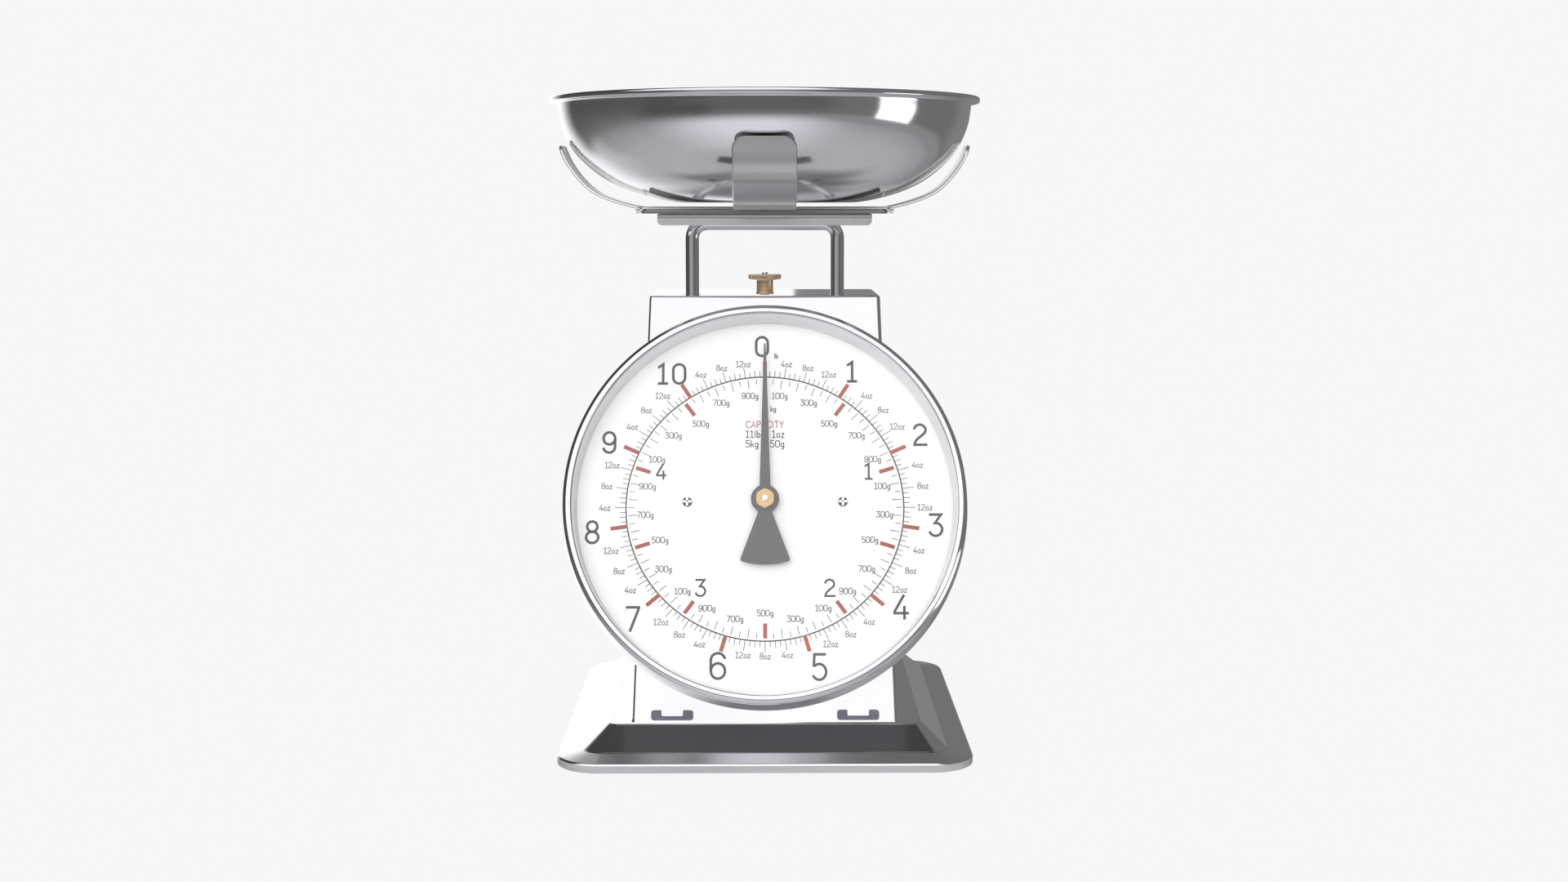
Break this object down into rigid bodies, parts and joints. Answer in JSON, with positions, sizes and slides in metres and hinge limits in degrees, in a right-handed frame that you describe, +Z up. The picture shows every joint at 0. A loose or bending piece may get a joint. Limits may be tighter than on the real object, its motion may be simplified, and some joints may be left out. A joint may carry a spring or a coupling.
{
  "type": "dial kitchen scale",
  "caption": "Spring dial kitchen scale: a steel bowl on a strap cradle and rod yoke sinks and turns the pointer of a leaning round dial on a stamped base.",
  "frame": {"origin": "centre of the footprint, on the table under the rubber feet", "axes": "+Z up, the dial faces -Y, +X to the viewer's right"},
  "size_m": [0.2304, 0.2304, 0.3394],
  "materials": {
    "bowl_steel": "polished, softly reflecting",
    "cradle_steel": "brushed along the strap",
    "yoke_steel": "polished rod",
    "housing_steel": "polished sheet",
    "base_steel": "polished stamped sheet",
    "dial_steel": "bright ring",
    "dial_face": "white enamel with a printed scale",
    "lens": "clear",
    "pointer_paint": "satin dark grey",
    "brass": "satin",
    "zinc": "zinc plated",
    "spring_steel": "spring wire",
    "bush_plastic": "moulded",
    "rubber": "matt"
  },
  "bodies": {
    "stand": {"base": "base_steel", "housing": "housing_steel", "rear_cover": "base_steel", "dial_drum": "dial_steel", "bezel_ring": "dial_steel", "spacer_ring": "dial_steel", "dial_plate": "dial_face", "dial_lens": "lens", "dial_screw_left": "zinc", "dial_screw_right": "zinc", "movement_frame": "zinc", "front_bush": "brass", "rear_bush": "brass", "rod_bush_left": "bush_plastic", "rod_bush_right": "bush_plastic", "guide_bracket_left": "zinc", "guide_bracket_right": "zinc", "foot_front_left": "rubber", "foot_front_right": "rubber", "foot_rear_left": "rubber", "foot_rear_right": "rubber", "main_spring_left": "spring_steel", "main_spring_right": "spring_steel", "rear_screw_1": "zinc", "base_screw_1": "zinc", "rear_screw_2": "zinc", "base_screw_2": "zinc", "rear_screw_3": "zinc", "base_screw_3": "zinc", "rear_screw_4": "zinc", "base_screw_4": "zinc"},
    "load_carriage": {"support_yoke": "yoke_steel", "yoke_channel": "cradle_steel", "cradle_plate": "cradle_steel", "cradle_strap_side": "cradle_steel", "cradle_strap_front": "cradle_steel", "cradle_rivet_front": "cradle_steel", "cradle_rivet_rear": "cradle_steel", "load_bar": "zinc", "leg_nut_left": "zinc", "leg_nut_right": "zinc", "stop_clip_left": "zinc", "stop_clip_right": "zinc", "rack": "brass", "rack_screw": "zinc"},
    "bowl": {"bowl": "bowl_steel"},
    "pointer": {"pinion_shaft": "brass", "pointer": "pointer_paint", "pointer_nut": "brass"},
    "zero_knob": {"zero_knob": "brass"},
    "spring_hanger": {"spring_hanger": "zinc"}
  },
  "joints": [
    {"name": "load_slide", "type": "slide", "parent": "stand", "child": "load_carriage", "axis": [0, 0, -1], "range_m": [0, 0.0158], "stiffness_N_per_m": 3100, "springref_m": -0.006, "deforming": ["main_spring_left", "main_spring_right"]},
    {"name": "bowl_lift", "type": "slide", "parent": "load_carriage", "child": "bowl", "axis": [0, 0, 1], "range_m": [0, 0.08]},
    {"name": "pointer_turn", "type": "hinge", "parent": "stand", "child": "pointer", "pos_m": [0, -0.05448, 0.12979], "axis": [0, 0.9511, -0.309], "range_deg": [0, 355]},
    {"name": "zero_turn", "type": "hinge", "parent": "stand", "child": "zero_knob", "pos_m": [0, 0, 0.24], "axis": [0, 0, 1], "range_deg": [-540, 540]},
    {"name": "hanger_slide", "type": "slide", "parent": "stand", "child": "spring_hanger", "axis": [0, 0, 1], "range_m": [-0.00119, 0.00119]}
  ],
  "couplings": [
    {"joint": "pointer_turn", "follows": "load_slide", "rad_per_m": 388.19},
    {"joint": "zero_turn", "follows": "hanger_slide", "rad_per_m": -7855.5}
  ]
}
